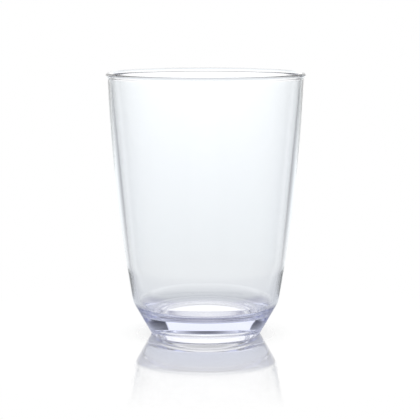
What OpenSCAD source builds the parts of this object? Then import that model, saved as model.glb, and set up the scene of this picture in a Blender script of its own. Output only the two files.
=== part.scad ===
// Clear plastic tumbler: one moulded piece with a bowed, tapering wall, a fine
// round lip, a thick solid base and a round recess under the foot.
// The origin is on the table at the centre of the foot, +Z is up.

/* [Overall] */
// Height of the tumbler
height = 112; // [90:1:140]
// Outside diameter over the lip
lip_d = 84.5; // [76:0.5:96]
// Outside diameter of the foot
foot_d = 46.4; // [40:0.2:54]

/* [Outer wall] */
// Outside diameter at the shoulder, where the wall turns in towards the foot
shoulder_d = 62.4; // [58:0.2:68]
// Height of the shoulder above the table
shoulder_h = 14.1; // [12:0.1:16]
// Radius that softens the shoulder
shoulder_r = 4.2; // [0.5:0.1:6]
// How far the wall bows out from a straight taper
wall_bow = 1.6; // [0.4:0.1:3]

/* [Lip] */
// Thickness of the round bead along the lip
bead_d = 1.9; // [1.4:0.1:2.6]
// How far the bead stands out from the wall below it
bead_step = 0.7; // [0.3:0.1:0.9]
// Radius of the hollow under the bead
bead_fillet_r = 1.2; // [0.6:0.1:2]

/* [Inside] */
// Height of the inner floor above the table
floor_h = 10.4; // [9:0.2:14]
// Height at which the straight inner wall turns in towards the floor
heel_h = 30; // [24:0.5:36]
// Wall thickness at that height
heel_wall = 1.7; // [1.2:0.1:2.4]
// Radius of that gentle turn
heel_r = 60; // [20:1:80]
// Distance from the shoulder in to the corner of the inner floor
corner_wall = 2.9; // [2:0.1:5]
// Radius of that corner where it leaves the floor
floor_r = 8; // [5:0.5:12]
// How far the corner turns with that radius, in degrees
floor_turn = 48; // [10:1:60]
// Radius of the rest of the corner, up to the inner wall
corner_r = 5.1; // [3:0.1:8]

/* [Underside] */
// Width of the ring that the tumbler stands on
ring_w = 2.7; // [2.2:0.1:6]
// Depth of the recess inside the ring
recess_h = 5.7; // [4:0.1:7]
// How far the side of the recess leans in on its way up
recess_draft = 0.7; // [0.2:0.1:1.5]
// Radius between the side of the recess and its ceiling
recess_r = 3.3; // [1:0.1:4]
// Radius along the inner edge of the ring
ring_edge_r = 0.4; // [0.2:0.1:1]
// Radius along the outer edge of the ring
foot_edge_r = 1; // [0.4:0.1:2]

/* [Hidden] */
$fn = 180;
// Largest turn of the outline from one point of a round stretch to the next
turn_step = 6;
// Number of steps along the long bow of the wall
wall_steps = 24;

// Points of an arc about c, from angle a to angle b, both ends included
function arc(c, r, a, b, steps) =
    [for (i = [0 : steps]) c + r * [cos(a + (b - a) * i / steps), sin(a + (b - a) * i / steps)]];

// Direction of the point p as seen from c, in degrees
function heading(c, p) = atan2(p.y - c.y, p.x - c.x);

// Steps that a turn takes
function steps_for(turn) = max(6, ceil(abs(turn) / turn_step));

// The shorter arc about c that starts at p and ends at q
function arc_between(c, p, q) =
    let (a = heading(c, p), raw = heading(c, q) - a,
         turn = raw > 180 ? raw - 360 : raw < -180 ? raw + 360 : raw)
    arc(c, norm(p - c), a, a + turn, steps_for(turn));

// Unit vector from p to q
function towards(p, q) = (q - p) / norm(q - p);

// Corner p of the path before, p, after, rounded with radius r
function rounded(before, p, after, r) =
    let (u = towards(p, before), v = towards(p, after),
         half = acos(u * v) / 2,
         c = p + (u + v) / norm(u + v) * r / sin(half))
    arc_between(c, p + u * r / tan(half), p + v * r / tan(half));

// Where the circles about c and d meet, on the right of the way from c to d
function meet_right(c, r, d, s) =
    let (gap = norm(d - c), u = towards(c, d),
         along = (gap * gap + r * r - s * s) / (2 * gap),
         aside = sqrt(r * r - along * along))
    c + along * u + aside * [u.y, -u.x];

// Circle of the bowed outer wall, from the shoulder up to the lip
shoulder = [shoulder_d / 2, shoulder_h];
wall_top = [lip_d / 2 - bead_step, height - bead_d / 2];
wall_chord = norm(wall_top - shoulder);
wall_r = (wall_chord * wall_chord / 4 + wall_bow * wall_bow) / (2 * wall_bow);
wall_up = towards(shoulder, wall_top);
wall_c = (shoulder + wall_top) / 2 + (wall_r - wall_bow) * [-wall_up.y, wall_up.x];

// Outer radius of the wall at height z
function wall_at(z) = wall_c.x + sqrt(wall_r * wall_r - (z - wall_c.y) * (z - wall_c.y));

// Taper from the foot up to the shoulder, and the round that joins it to the wall
foot = [foot_d / 2, 0];
taper_up = towards(foot, shoulder);
taper_in = [-taper_up.y, taper_up.x];
round_start = foot + taper_in * shoulder_r - wall_c;
round_drop = round_start * taper_up;
round_reach = sqrt(round_drop * round_drop - round_start * round_start
    + (wall_r - shoulder_r) * (wall_r - shoulder_r)) - round_drop;
shoulder_c = foot + taper_in * shoulder_r + taper_up * round_reach;
taper_top = shoulder_c - taper_in * shoulder_r;
wall_foot = shoulder_c + towards(wall_c, shoulder_c) * shoulder_r;

// Round bead of the lip, and the hollow that leads into it from the wall
bead_r = bead_d / 2;
bead_c = [lip_d / 2 - bead_r, height - bead_r];
hollow_c = meet_right(wall_c, wall_r + bead_fillet_r, bead_c, bead_r + bead_fillet_r);
hollow_foot = hollow_c + towards(hollow_c, wall_c) * bead_fillet_r;
hollow_top = hollow_c + towards(hollow_c, bead_c) * bead_fillet_r;

// Inner wall, which touches the bead and turns in at the heel
heel = [wall_at(heel_h) - heel_wall, heel_h];
corner = [shoulder_d / 2 - corner_wall, floor_h];
heel_to_bead = norm(bead_c - heel);
inner_lean = heading(heel, bead_c) + asin(bead_r / heel_to_bead);
inner_top = heel + [cos(inner_lean), sin(inner_lean)] * heel_to_bead * cos(asin(bead_r / heel_to_bead));

// Corner of the inner floor: a wide arc off the floor, then a tighter one up to the inner wall
wall_lean = heading(corner, heel);
floor_off = [sin(floor_turn), -cos(floor_turn)];
wall_off = [sin(wall_lean), -cos(wall_lean)];
corner_run = (floor_r - corner_r) * floor_off + corner_r * wall_off + [0, floor_r];
floor_c = [corner.x + corner_run.y / tan(wall_lean) - corner_run.x, floor_h + floor_r];
corner_c = floor_c + (floor_r - corner_r) * floor_off;

// Recess under the foot: its mouth on the inner edge of the ring, and the edge of its ceiling
mouth = [foot_d / 2 - ring_w, 0];
ceiling = [mouth.x - recess_draft, recess_h];

// Half section of the tumbler, from the recess round the outside and back down the inside
section = concat(
    [[0, recess_h]],
    rounded([0, recess_h], ceiling, mouth, recess_r),
    rounded(ceiling, mouth, foot, ring_edge_r),
    rounded(mouth, foot, shoulder, foot_edge_r),
    arc_between(shoulder_c, taper_top, wall_foot),
    arc(wall_c, wall_r, heading(wall_c, wall_foot), heading(wall_c, hollow_foot), wall_steps),
    arc_between(hollow_c, hollow_foot, hollow_top),
    arc(bead_c, bead_r, heading(bead_c, hollow_top), heading(bead_c, inner_top),
        steps_for(heading(bead_c, inner_top) - heading(bead_c, hollow_top))),
    rounded(inner_top, heel, corner, heel_r),
    arc(corner_c, corner_r, wall_lean - 90, floor_turn - 90, steps_for(wall_lean - floor_turn)),
    arc(floor_c, floor_r, floor_turn - 90, -90, steps_for(floor_turn)),
    [[0, floor_h]]
);

module tumbler() {
    color("lavender", 0.4)
        rotate_extrude()
            polygon(section);
}

tumbler();
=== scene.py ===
"""Studio view of a clear moulded plastic tumbler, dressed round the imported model.

X is to the right, Y away from the camera and Z up. Lengths are in metres.
"""
import logging
import math
from collections.abc import Iterator
from dataclasses import dataclass, field
from enum import Enum

import bmesh
import bpy
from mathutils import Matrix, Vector


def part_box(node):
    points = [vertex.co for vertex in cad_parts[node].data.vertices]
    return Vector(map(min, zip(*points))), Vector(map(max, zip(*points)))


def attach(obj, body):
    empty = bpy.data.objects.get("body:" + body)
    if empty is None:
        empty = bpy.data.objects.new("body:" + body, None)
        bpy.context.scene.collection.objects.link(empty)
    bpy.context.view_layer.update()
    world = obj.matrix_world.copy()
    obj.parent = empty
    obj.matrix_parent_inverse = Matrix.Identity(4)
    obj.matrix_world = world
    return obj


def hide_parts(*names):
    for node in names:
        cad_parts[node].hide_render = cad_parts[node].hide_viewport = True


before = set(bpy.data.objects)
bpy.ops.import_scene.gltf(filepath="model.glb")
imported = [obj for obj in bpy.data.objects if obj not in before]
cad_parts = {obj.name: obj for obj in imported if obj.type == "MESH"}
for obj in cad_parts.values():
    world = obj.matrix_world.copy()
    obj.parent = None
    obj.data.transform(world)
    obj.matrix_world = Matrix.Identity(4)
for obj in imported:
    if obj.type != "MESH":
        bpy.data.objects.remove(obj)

LOG = logging.getLogger("tumbler")
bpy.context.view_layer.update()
MM = 0.001
# How often light may bounce, which lets it through the base, the recess and back
LIGHT_BOUNCES = 24
# How much brighter than its tones the studio is where the plastic shows it, and how brightly the table's
# painted light and shade glow there
STUDIO_LEVEL = 1.3
# Points of the turned body that are closer than this are one point, in metres
SAME_POINT = 1e-7
# Sockets of a Mix node that is set to colours, because its other kinds have sockets of the same names
MIX_FIRST, MIX_SECOND, MIX_RESULT = 6, 7, 2
Colour = tuple[float, float, float, float]
Tone = tuple[float, float, float]
Stops = tuple[tuple[float, Tone], ...]
Bearings = tuple[float, float, float]
WHITE: Colour = (1.0, 1.0, 1.0, 1.0)


class Sight(Enum):
    """Kinds of ray, as the Light Path node names them."""

    GLOSSY = "Is Glossy Ray"
    TRANSMISSION = "Is Transmission Ray"


@dataclass
class Graph:
    """A shader's nodes, with short ways to add the ones that this scene needs.

    Args:
        tree: The node tree to add to.
    """

    tree: bpy.types.NodeTree

    def add(self, kind: str, operation: str | None = None) -> bpy.types.Node:
        """Adds a node.

        Args:
            kind: The node's type, without the words that every type starts with.
            operation: What it does, where the node has a choice of operations.

        Returns:
            The new node.
        """
        node = self.tree.nodes.new(f"ShaderNode{kind}")
        if operation:
            node.operation = operation
        return node

    def feed(self, socket: bpy.types.NodeSocket, value: object) -> None:
        """Links a socket to another one, or sets its value.

        Args:
            socket: The input to feed.
            value: An output socket, a number or a colour.
        """
        if isinstance(value, bpy.types.NodeSocket):
            self.tree.links.new(value, socket)
        else:
            socket.default_value = value

    def shader(self, kind: str, **values: object) -> bpy.types.NodeSocket:
        """Adds a node that makes a surface.

        Args:
            kind: The node's type, as for add.
            **values: Its inputs by name, sockets, numbers or colours.

        Returns:
            The surface's socket.
        """
        node = self.add(kind)
        for name, value in values.items():
            self.feed(node.inputs[name], value)
        return node.outputs[0]

    def mix(self, share: object, first: object, second: object) -> bpy.types.NodeSocket:
        """Mixes two surfaces.

        Args:
            share: How much of the second there is.
            first: The surface at a share of 0.
            second: The surface at a share of 1.

        Returns:
            The mixed surface's socket.
        """
        node = self.add("MixShader")
        for socket, value in zip(node.inputs, (share, first, second)):
            self.feed(socket, value)
        return node.outputs["Shader"]

    def maths(self, operation: str, *values: object) -> bpy.types.NodeSocket:
        """Works out a number.

        Args:
            operation: The Math node's operation.
            *values: Its inputs, sockets or numbers.

        Returns:
            The result's socket.
        """
        node = self.add("Math", operation)
        for socket, value in zip(node.inputs, values):
            self.feed(socket, value)
        return node.outputs["Value"]

    def ease(self, value: object, start: float, end: float) -> bpy.types.NodeSocket:
        """Turns a number smoothly into a share.

        Args:
            value: The number.
            start: Where the share is 0.
            end: Where it is 1.

        Returns:
            The share's socket.
        """
        node = self.add("MapRange")
        node.interpolation_type = "SMOOTHSTEP"
        for name, given in zip(("Value", "From Min", "From Max"), (value, start, end)):
            self.feed(node.inputs[name], given)
        return node.outputs["Result"]

    def blend(self, share: object, first: object, second: object) -> bpy.types.NodeSocket:
        """Mixes two colours.

        Args:
            share: How much of the second there is.
            first: The colour at a share of 0.
            second: The colour at a share of 1.

        Returns:
            The mixed colour's socket.
        """
        node = self.add("Mix")
        node.data_type = "RGBA"
        node.clamp_factor = True
        self.feed(node.inputs["Factor"], share)
        self.feed(node.inputs[MIX_FIRST], first)
        self.feed(node.inputs[MIX_SECOND], second)
        return node.outputs[MIX_RESULT]

    def ramp(self, value: object, stops: Stops) -> bpy.types.NodeSocket:
        """Reads a tone off a line drawn through a few stops.

        Args:
            value: Where to read it.
            stops: Places and the tone at each, in rising order.

        Returns:
            The tone's socket.
        """
        node = self.add("ValToRGB")
        reach = stops[-1][0]
        self.feed(node.inputs["Fac"], self.maths("DIVIDE", value, reach))
        line = node.color_ramp
        while len(line.elements) < len(stops):
            line.elements.new(1.0)
        for element, (place, tone) in zip(line.elements, stops):
            element.position = place / reach
            element.color = (*tone, 1.0)
        return node.outputs["Color"]

    def bearing(self, x: object, y: object) -> bpy.types.NodeSocket:
        """Works out the bearing of a direction, in degrees.

        Args:
            x: The direction's part to the right.
            y: The direction's part away from the camera.

        Returns:
            A socket that is 0 straight away from the camera and positive to the right of that.
        """
        return self.maths("DEGREES", self.maths("ARCTAN2", x, y))

    def off_sweep(self, bearing: object, edges: tuple[object, object], blur: float) -> bpy.types.NodeSocket:
        """Tells how far to the side of the lit sweep a direction lies.

        Args:
            bearing: The direction's bearing.
            edges: Bearings of the sweep's left and right edge.
            blur: Half the width of its soft edge, in degrees.

        Returns:
            A socket that is 0 on the sweep and 1 beside it.
        """
        left, right = edges
        beyond = self.maths("SUBTRACT", left, bearing), self.maths("SUBTRACT", bearing, right)
        return self.ease(self.maths("MAXIMUM", *beyond), -blur, blur)

    def seen_in_plastic(self) -> bpy.types.NodeSocket:
        """Tells the rays that bring a picture of the studio off the plastic or through it.

        Returns:
            A socket that is 1 for them, and 0 for the eye's own rays and for those that light the table.
        """
        path = self.add("LightPath")
        sights = (path.outputs[sight.value] for sight in Sight)
        direct = self.maths("LESS_THAN", path.outputs["Diffuse Depth"], 1.0)
        return self.maths("MULTIPLY", self.maths("MAXIMUM", *sights), direct)


@dataclass(frozen=True)
class Circle:
    """A circle in the plane of the half section. Its centre is a radius and a height, in metres."""

    centre: Vector
    radius: float

    def towards(self, point: Vector) -> Vector:
        """Finds the circle's point in the direction of another one.

        Args:
            point: The other point.

        Returns:
            The circle's point.
        """
        return self.centre + (point - self.centre).normalized() * self.radius

    def out_at(self, height: float) -> float:
        """Tells how far from the tumbler's axis the circle's outer side is.

        Args:
            height: The height above the table.

        Returns:
            The distance from the axis.
        """
        return self.centre.x + math.sqrt(self.radius**2 - (height - self.centre.y) ** 2)

    def hollow_before(self, other: "Circle", radius: float) -> "Circle":
        """Finds the circle that leads from this one into another and touches both from outside.

        Args:
            other: The circle that it leads into.
            radius: Its own radius.

        Returns:
            The circle on the right of the way from this one to the other.
        """
        way = other.centre - self.centre
        out = way.normalized()
        far, near = self.radius + radius, other.radius + radius
        ahead = (way.length_squared + far**2 - near**2) / (2 * way.length)
        aside = math.sqrt(far**2 - ahead**2)
        return Circle(self.centre + out * ahead + Vector((out.y, -out.x)) * aside, radius)


@dataclass(frozen=True)
class Arc:
    """An arc of the half section. Each of its points is a radius and a height, in metres."""

    start: Vector
    centre: Vector
    end: Vector


def rounded_corner(before: Vector, corner: Vector, after: Vector, radius: float) -> Arc:
    """Finds the arc that rounds a corner of a path.

    Args:
        before: A point on the line that leads to the corner.
        corner: The corner itself.
        after: A point on the line that leaves it.
        radius: Radius of the arc.

    Returns:
        The arc.
    """
    back, on = (before - corner).normalized(), (after - corner).normalized()
    half = back.angle(on) / 2
    reach = radius / math.tan(half)
    centre = corner + (back + on).normalized() * (radius / math.sin(half))
    return Arc(corner + back * reach, centre, corner + on * reach)


@dataclass(frozen=True)
class Stretch:
    """A part of the half section: an arc and the straight run that leads to it.

    Args:
        arc: The arc.
        turn: How many edges the arc is made of.
        run: How many the run is made of, or 0 where the arc goes on from the one before.
    """

    arc: Arc
    turn: int
    run: int = 0


@dataclass
class Outline:
    """A path in the X-Z plane of a bmesh, drawn from its tip.

    Args:
        mesh: The bmesh that holds the path.
        start: Where the path starts, as radius and height in metres.
    """

    mesh: bmesh.types.BMesh
    start: Vector
    tip: bmesh.types.BMVert = field(init=False)

    def __post_init__(self) -> None:
        """Puts the first point down."""
        self.tip = self.mesh.verts.new((self.start.x, 0.0, self.start.y))

    def line_to(self, point: Vector, steps: int) -> None:
        """Draws a straight line.

        Args:
            point: Radius and height at the end.
            steps: How many edges it is made of.
        """
        move = (Vector((point.x, 0.0, point.y)) - self.tip.co) / steps
        for _ in range(steps):
            grown = bmesh.ops.extrude_vert_indiv(self.mesh, verts=[self.tip])
            self.tip = grown["verts"][0]
            bmesh.ops.translate(self.mesh, verts=[self.tip], vec=move)

    def turn_along(self, arc: Arc, steps: int) -> None:
        """Draws an arc of less than half a turn.

        Args:
            arc: The arc, which starts at the tip.
            steps: How many edges it is made of.
        """
        here = Vector((self.tip.co.x, self.tip.co.z)) - arc.centre
        turned = bmesh.ops.spin(
            self.mesh,
            geom=[self.tip],
            cent=(arc.centre.x, 0.0, arc.centre.y),
            axis=(0.0, 1.0, 0.0),
            angle=here.angle_signed(arc.end - arc.centre),
            steps=steps,
        )
        self.tip = turned["geom_last"][0]

    def follow(self, stretch: Stretch) -> None:
        """Draws the next part of a half section.

        Args:
            stretch: The part.
        """
        if stretch.run:
            self.line_to(stretch.arc.start, stretch.run)
        self.turn_along(stretch.arc, stretch.turn)


@dataclass(frozen=True)
class ClearPlastic:
    """Polished clear plastic with a faint lilac tint that shows where it is thick."""

    index: float = 1.58
    tint: Colour = (0.56, 0.62, 0.95, 1.0)
    tint_per_metre: float = 11.0

    def material(self) -> bpy.types.Material:
        """Builds the material.

        Returns:
            The finished material.
        """
        made = bpy.data.materials.new("clear_plastic")
        made.use_nodes = True
        tree = made.node_tree
        surface = tree.nodes["Principled BSDF"]
        surface.inputs["Base Color"].default_value = WHITE
        surface.inputs["Transmission Weight"].default_value = 1.0
        surface.inputs["Roughness"].default_value = 0.0
        surface.inputs["IOR"].default_value = self.index
        tinted = tree.nodes.new("ShaderNodeVolumeAbsorption")
        tinted.inputs["Color"].default_value = self.tint
        tinted.inputs["Density"].default_value = self.tint_per_metre
        tree.links.new(tinted.outputs["Volume"], tree.nodes["Material Output"].inputs["Volume"])
        return made


@dataclass
class Tumbler:
    """The moulded body, turned from its half section. Lengths are in metres."""

    height: float
    lip_radius: float = 42.25 * MM
    foot_radius: float = 23.2 * MM
    shoulder_radius: float = 31.2 * MM
    shoulder_height: float = 14.1 * MM
    shoulder_round: float = 4.2 * MM
    wall_bow: float = 1.6 * MM
    bead_radius: float = 0.95 * MM
    bead_step: float = 0.7 * MM
    bead_hollow: float = 1.2 * MM
    floor_height: float = 10.4 * MM
    heel_height: float = 30.0 * MM
    heel_wall: float = 1.7 * MM
    heel_round: float = 60.0 * MM
    corner_wall: float = 2.9 * MM
    floor_round: float = 8.0 * MM
    floor_turn: float = math.radians(48.0)
    corner_round: float = 5.1 * MM
    recess_depth: float = 5.7 * MM
    recess_radius: float = 20.5 * MM
    recess_draft: float = 0.7 * MM
    recess_round: float = 3.3 * MM
    recess_lip: float = 0.4 * MM
    foot_round: float = 1.0 * MM
    floor_run: int = 24
    turns: int = 256

    @property
    def foot(self) -> Vector:
        """Outer corner of the foot, before it is rounded."""
        return Vector((self.foot_radius, 0.0))

    @property
    def shoulder(self) -> Vector:
        """Corner where the taper from the foot meets the wall, before it is rounded."""
        return Vector((self.shoulder_radius, self.shoulder_height))

    @property
    def bead(self) -> Circle:
        """Round bead of the lip."""
        centre = Vector((self.lip_radius - self.bead_radius, self.height - self.bead_radius))
        return Circle(centre, self.bead_radius)

    @property
    def bow(self) -> Circle:
        """Circle of the bowed outer wall, through the shoulder and the wall's top."""
        top = Vector((self.lip_radius - self.bead_step, self.bead.centre.y))
        chord = top - self.shoulder
        radius = (chord.length_squared / 4 + self.wall_bow**2) / (2 * self.wall_bow)
        inward = Vector((-chord.y, chord.x)).normalized()
        return Circle((self.shoulder + top) / 2 + inward * (radius - self.wall_bow), radius)

    @property
    def heel(self) -> Vector:
        """Corner where the straight inner wall turns in, before it is rounded."""
        return Vector((self.bow.out_at(self.heel_height) - self.heel_wall, self.heel_height))

    @property
    def corner(self) -> Vector:
        """Corner of the inner floor, before it is rounded."""
        return Vector((self.shoulder_radius - self.corner_wall, self.floor_height))

    @property
    def inner_top(self) -> Vector:
        """Point where the straight inner wall touches the bead."""
        way = self.bead.centre - self.heel
        lean = math.atan2(way.y, way.x) + math.asin(self.bead_radius / way.length)
        run = math.sqrt(way.length_squared - self.bead_radius**2)
        return self.heel + Vector((math.cos(lean), math.sin(lean))) * run

    def underside(self) -> Iterator[Stretch]:
        """Works out the recess and the ring that the tumbler stands on.

        Yields:
            Their parts of the half section, from the axis out to the foot.
        """
        middle = Vector((0.0, self.recess_depth))
        ceiling = Vector((self.recess_radius - self.recess_draft, self.recess_depth))
        mouth = Vector((self.recess_radius, 0.0))
        yield Stretch(rounded_corner(middle, ceiling, mouth, self.recess_round), run=24, turn=28)
        yield Stretch(rounded_corner(ceiling, mouth, self.foot, self.recess_lip), run=8, turn=8)
        yield Stretch(rounded_corner(mouth, self.foot, self.shoulder, self.foot_round), run=3, turn=14)

    def outside(self) -> Iterator[Stretch]:
        """Works out the taper, the shoulder, the bowed wall and the bead.

        Yields:
            Their parts of the half section, from the foot up and over the lip.
        """
        bow, bead = self.bow, self.bead
        # The shoulder's round touches the taper, and the bow from inside
        taper = (self.shoulder - self.foot).normalized()
        inward = Vector((-taper.y, taper.x)) * self.shoulder_round
        reach = self.foot + inward - bow.centre
        drop = reach.dot(taper)
        along = math.sqrt(drop**2 - reach.length_squared + (bow.radius - self.shoulder_round) ** 2) - drop
        turning = self.foot + inward + taper * along
        wall_foot = bow.towards(turning)
        yield Stretch(Arc(turning - inward, turning, wall_foot), run=12, turn=16)

        hollow = bow.hollow_before(bead, self.bead_hollow)
        hollow_foot, hollow_top = hollow.towards(bow.centre), hollow.towards(bead.centre)
        yield Stretch(Arc(wall_foot, bow.centre, hollow_foot), turn=48)
        yield Stretch(Arc(hollow_foot, hollow.centre, hollow_top), turn=8)

        top = bead.centre + Vector((0.0, bead.radius))
        yield Stretch(Arc(hollow_top, bead.centre, top), turn=12)
        yield Stretch(Arc(top, bead.centre, self.inner_top), turn=10)

    def inside(self) -> Iterator[Stretch]:
        """Works out the inner wall, its heel and the floor's corner, a wide arc and a tighter one.

        Yields:
            Their parts of the half section, from the lip down to the flat of the floor.
        """
        heel, corner = self.heel, self.corner
        yield Stretch(rounded_corner(self.inner_top, heel, corner, self.heel_round), run=24, turn=10)

        # The wide arc leaves the flat of the floor, and the tight one goes on from it to the inner wall
        lean = math.atan2(heel.y - corner.y, heel.x - corner.x)
        turns = (self.floor_turn, lean)
        off_floor, off_wall = (Vector((math.sin(turn), -math.cos(turn))) for turn in turns)
        shift = off_floor * (self.floor_round - self.corner_round)
        rise = shift + off_wall * self.corner_round + Vector((0.0, self.floor_round))
        flat_end = Vector((corner.x + rise.y / math.tan(lean) - rise.x, self.floor_height))
        wide = Circle(flat_end + Vector((0.0, self.floor_round)), self.floor_round)
        tight = Circle(wide.centre + shift, self.corner_round)
        change = wide.centre + off_floor * wide.radius
        yield Stretch(Arc(tight.centre + off_wall * tight.radius, tight.centre, change), run=6, turn=16)
        yield Stretch(Arc(change, wide.centre, flat_end), turn=24)

    def draw(self, mesh: bmesh.types.BMesh) -> None:
        """Draws the half section from the recess, up the outside and back down the inside.

        Args:
            mesh: The bmesh to draw in.
        """
        path = Outline(mesh, Vector((0.0, self.recess_depth)))
        for side in (self.underside, self.outside, self.inside):
            for stretch in side():
                path.follow(stretch)
        path.line_to(Vector((0.0, self.floor_height)), self.floor_run)

    def build(self, finish: ClearPlastic) -> bpy.types.Object:
        """Turns the half section into the closed body and gives it its finish.

        Args:
            finish: The plastic it is moulded from.

        Returns:
            The finished piece.
        """
        turned = bmesh.new()
        self.draw(turned)
        bmesh.ops.spin(
            turned,
            geom=turned.verts[:] + turned.edges[:],
            cent=(0.0, 0.0, 0.0),
            axis=(0.0, 0.0, 1.0),
            angle=math.tau,
            steps=self.turns,
            use_merge=True,
        )
        bmesh.ops.remove_doubles(turned, verts=turned.verts[:], dist=SAME_POINT)
        bmesh.ops.recalc_face_normals(turned, faces=turned.faces[:])
        for face in turned.faces:
            face.smooth = True
        mesh = bpy.data.meshes.new("tumbler_body")
        turned.to_mesh(mesh)
        turned.free()
        piece = bpy.data.objects.new("tumbler_body", mesh)
        bpy.context.scene.collection.objects.link(piece)
        mesh.materials.append(finish.material())
        return piece


@dataclass(frozen=True)
class Surroundings:
    """What the plastic shows above the table: a lit sweep behind it, a dark gap beside that and a dim room.

    Each edge of the sweep has a bearing low down, one in the middle and one high up. The widening and the
    narrowing are the angles above the table between which the edges pass from one to the next. A stop is
    an angle above the table. The eye, and the light on the table, find plain white everywhere. Angles are
    in degrees.
    """

    left_edge: Bearings = (-34.5, -46.5, -38.0)
    right_edge: Bearings = (25.5, 37.5, 30.0)
    widening: tuple[float, float] = (10.2, 15.2)
    narrowing: tuple[float, float] = (26.0, 30.0)
    blur: float = 1.0
    gap_end: float = 48.0
    room_start: float = 78.0
    # White low down, a dark band over it, and white again overhead
    sweep_stops: Stops = (
        (0, (0.82, 0.82, 0.82)),
        (8, (0.90, 0.90, 0.90)),
        (20, (1.00, 1.00, 1.00)),
        (25, (0.60, 0.60, 0.61)),
        (29, (0.26, 0.26, 0.28)),
        (33, (0.10, 0.10, 0.11)),
        (37, (0.45, 0.45, 0.45)),
        (45, (0.80, 0.80, 0.80)),
        (60, (1.00, 1.00, 1.00)),
    )
    # Grey near the table, black over that, and lit overhead
    gap_stops: Stops = (
        (0, (0.28, 0.31, 0.36)),
        (7, (0.46, 0.48, 0.52)),
        (10, (0.18, 0.19, 0.21)),
        (13, (0.00, 0.00, 0.00)),
        (19, (0.00, 0.00, 0.00)),
        (26, (0.50, 0.51, 0.52)),
        (33, (0.95, 0.95, 0.95)),
        (42, (1.00, 1.00, 1.00)),
        (90, (0.95, 0.95, 0.95)),
    )
    # Dim, with a row of lamps halfway up
    room_stops: Stops = (
        (0, (0.28, 0.28, 0.28)),
        (10, (0.40, 0.41, 0.42)),
        (16, (0.48, 0.49, 0.50)),
        (21, (0.76, 0.77, 0.78)),
        (25, (0.92, 0.93, 0.94)),
        (30, (0.76, 0.77, 0.78)),
        (46, (0.45, 0.45, 0.45)),
        (90, (0.75, 0.75, 0.75)),
    )

    def edge(self, graph: Graph, rise: object, bearings: Bearings) -> bpy.types.NodeSocket:
        """Follows an edge of the sweep upwards.

        Args:
            graph: The shader to work in.
            rise: The angle above the table.
            bearings: The edge's bearings low down, in the middle and high up.

        Returns:
            A socket with the edge's bearing at that angle.
        """
        low, middle, high = bearings
        widened = graph.maths("MULTIPLY_ADD", graph.ease(rise, *self.widening), middle - low, low)
        return graph.maths("MULTIPLY_ADD", graph.ease(rise, *self.narrowing), high - middle, widened)

    def build(self) -> None:
        """Sets the world up."""
        world = bpy.data.worlds.new("studio")
        bpy.context.scene.world = world
        world.use_nodes = True
        graph = Graph(world.node_tree)
        ray = graph.add("SeparateXYZ")
        graph.feed(ray.inputs[0], graph.add("TexCoord").outputs["Generated"])
        x, y, z = ray.outputs
        rise = graph.maths("DEGREES", graph.maths("ARCSINE", z))
        bearing = graph.bearing(x, y)
        in_room = graph.ease(graph.maths("ABSOLUTE", bearing), self.gap_end, self.room_start)
        beside = graph.blend(in_room, graph.ramp(rise, self.gap_stops), graph.ramp(rise, self.room_stops))
        edges = tuple(self.edge(graph, rise, bearings) for bearings in (self.left_edge, self.right_edge))
        off_sweep = graph.off_sweep(bearing, edges, self.blur)
        tone = graph.blend(off_sweep, graph.ramp(rise, self.sweep_stops), beside)
        seen = graph.seen_in_plastic()
        strength = graph.maths("MULTIPLY_ADD", seen, STUDIO_LEVEL - 1.0, 1.0)
        background = world.node_tree.nodes["Background"]
        graph.feed(background.inputs["Color"], graph.blend(seen, WHITE, tone))
        graph.feed(background.inputs["Strength"], strength)


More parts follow.
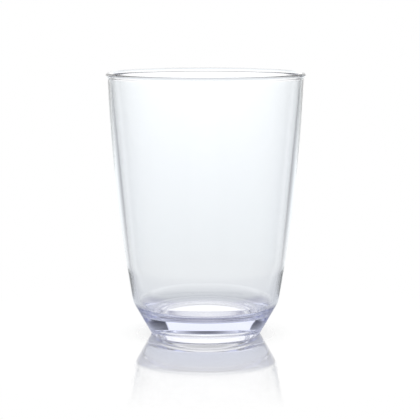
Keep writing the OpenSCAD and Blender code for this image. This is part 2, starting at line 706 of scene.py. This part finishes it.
@dataclass(frozen=True)
class TableTop:
    """Glossy white sheet that mirrors the tumbler. Lengths are in metres, and so are the places of stops.

    In the plastic it shows painted light and shade in place of its lit surface: the sweep behind the
    tumbler, with painted shade under the foot that brightens with distance, and painted dim sides.
    To the eye it is white. It takes the tumbler's shadow where the studio lights it, and is even further
    out.
    """

    half_width: float = 4.0
    drop: float = 0.02 * MM
    roughness: float = 0.03
    gloss: Colour = (0.85, 0.85, 0.85, 1.0)
    lit_by_studio: float = 0.0215
    lit_evenly: float = 0.045
    edges: tuple[float, float] = (-34.5, 33.0)
    blur: float = 7.0
    # How much of a mirror the sheet is, which fades away from the tumbler
    mirror_stops: Stops = (
        (0.030, (0.72, 0.72, 0.72)),
        (0.060, (0.55, 0.55, 0.55)),
        (0.080, (0.42, 0.42, 0.42)),
        (0.130, (0.00, 0.00, 0.00)),
    )
    # Painted shade away from the camera: dim under the foot, where the tumbler shades the sheet, then
    # lighter with distance
    sweep_stops: Stops = (
        (0.004, (0.62, 0.63, 0.66)),
        (0.014, (0.40, 0.41, 0.46)),
        (0.032, (0.42, 0.44, 0.46)),
        (0.038, (0.47, 0.49, 0.51)),
        (0.070, (0.61, 0.63, 0.65)),
        (0.130, (0.69, 0.71, 0.72)),
        (0.340, (0.72, 0.75, 0.76)),
        (0.800, (0.90, 0.93, 0.94)),
        (1.500, (0.95, 0.95, 0.95)),
    )
    # Painted shade to the sides: a dark ring inside the foot's edge, grey round it, and dim further out
    beside_painted_shade_stops: Stops = (
        (0.0100, (0.54, 0.55, 0.61)),
        (0.0140, (0.46, 0.47, 0.54)),
        (0.0170, (0.18, 0.18, 0.27)),
        (0.0195, (0.21, 0.21, 0.30)),
        (0.0240, (0.39, 0.40, 0.48)),
        (0.0400, (0.38, 0.39, 0.44)),
        (0.0600, (0.49, 0.51, 0.54)),
        (0.1500, (0.46, 0.47, 0.48)),
        (0.3500, (0.37, 0.38, 0.39)),
        (0.7000, (0.27, 0.28, 0.29)),
        (1.5000, (0.30, 0.31, 0.32)),
    )

    def plain(self, graph: Graph, distance: object) -> bpy.types.NodeSocket:
        """Builds the sheet's white.

        Args:
            graph: The shader to work in.
            distance: The distance from the tumbler's axis.

        Returns:
            The white surface's socket.
        """
        matt, even = (graph.shader(kind, Color=WHITE) for kind in ("BsdfDiffuse", "Emission"))
        return graph.mix(graph.ease(distance, self.lit_by_studio, self.lit_evenly), matt, even)

    def painted_shade_in_plastic(self, graph: Graph, bearing: object, distance: object) -> bpy.types.NodeSocket:
        """Builds the painted light and shade that the plastic shows of the sheet, glowing tones in place of
        light falling on it.

        Args:
            graph: The shader to work in.
            bearing: The bearing from the tumbler's axis.
            distance: The distance from it.

        Returns:
            The toned surface's socket.
        """
        # Painted shade, read off by distance from the tumbler's axis, ahead and to the sides
        ahead, beside = (graph.ramp(distance, stops) for stops in (self.sweep_stops, self.beside_painted_shade_stops))
        tone = graph.blend(graph.off_sweep(bearing, self.edges, self.blur), ahead, beside)
        # The painted tones glow instead of being lit, and far out they glow brighter than white
        return graph.shader("Emission", Color=tone, Strength=STUDIO_LEVEL)

    def material(self) -> bpy.types.Material:
        """Builds the sheet's material.

        Returns:
            The finished material.
        """
        made = bpy.data.materials.new("table_gloss_and_painted_shade")
        made.use_nodes = True
        graph = Graph(made.node_tree)
        graph.tree.nodes.remove(graph.tree.nodes["Principled BSDF"])
        place = graph.add("SeparateXYZ")
        graph.feed(place.inputs[0], graph.add("TexCoord").outputs["Object"])
        x, y = place.outputs["X"], place.outputs["Y"]
        squares = (graph.maths("MULTIPLY", along, along) for along in (x, y))
        distance = graph.maths("SQRT", graph.maths("ADD", *squares))
        plain, painted_shade_in_plastic = self.plain(graph, distance), self.painted_shade_in_plastic(graph, graph.bearing(x, y), distance)
        seen = graph.seen_in_plastic()
        # Rays seen in the plastic get the painted shade; the eye gets the plain white, which takes the real
        # shadow
        sheet = graph.mix(seen, plain, painted_shade_in_plastic)
        unseen = graph.maths("SUBTRACT", 1.0, seen)
        mirror = graph.maths("MULTIPLY", graph.ramp(distance, self.mirror_stops), unseen)
        gloss = graph.shader("BsdfGlossy", Color=self.gloss, Roughness=self.roughness)
        graph.feed(graph.tree.nodes["Material Output"].inputs["Surface"], graph.mix(mirror, sheet, gloss))
        return made

    def build(self) -> bpy.types.Object:
        """Lays the sheet a hair below the foot.

        Returns:
            The sheet.
        """
        flat = bmesh.new()
        bmesh.ops.create_grid(flat, x_segments=1, y_segments=1, size=self.half_width)
        bmesh.ops.translate(flat, verts=flat.verts[:], vec=(0.0, 0.0, -self.drop))
        mesh = bpy.data.meshes.new("table_top")
        flat.to_mesh(mesh)
        flat.free()
        top = bpy.data.objects.new("table_top", mesh)
        bpy.context.scene.collection.objects.link(top)
        mesh.materials.append(self.material())
        return top


@dataclass(frozen=True)
class Camera:
    """Where the picture was taken from. The lens is in millimetres, for a sensor 36 mm wide."""

    distance: float = 0.690
    height: float = 0.1484
    tilt: float = math.radians(7.845)
    swing: float = math.radians(-0.149)
    lens: float = 139.7

    def build(self) -> bpy.types.Object:
        """Stands the camera up, tilted down at the tumbler.

        Returns:
            The camera.
        """
        data = bpy.data.cameras.new("camera")
        data.lens = self.lens
        eye = bpy.data.objects.new("camera", data)
        eye.location = (0.0, -self.distance, self.height)
        eye.rotation_euler = (math.pi / 2 - self.tilt, 0.0, self.swing)
        bpy.context.scene.collection.objects.link(eye)
        bpy.context.scene.camera = eye
        return eye


def main() -> None:
    """Builds the studio and the tumbler."""
    logging.basicConfig(level=logging.INFO)
    scene = bpy.context.scene
    scene.view_settings.view_transform = "Standard"
    scene.cycles.max_bounces = LIGHT_BOUNCES
    scene.cycles.transmission_bounces = LIGHT_BOUNCES
    scene.cycles.glossy_bounces = LIGHT_BOUNCES
    Camera().build()
    Surroundings().build()
    TableTop().build()
    low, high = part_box("tumbler")
    body = Tumbler(height=high.z - low.z).build(ClearPlastic())
    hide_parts("tumbler")
    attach(body, "root")
    LOG.info("%s has %d faces", body.name, len(body.data.polygons))


if __name__ == "__main__":
    main()
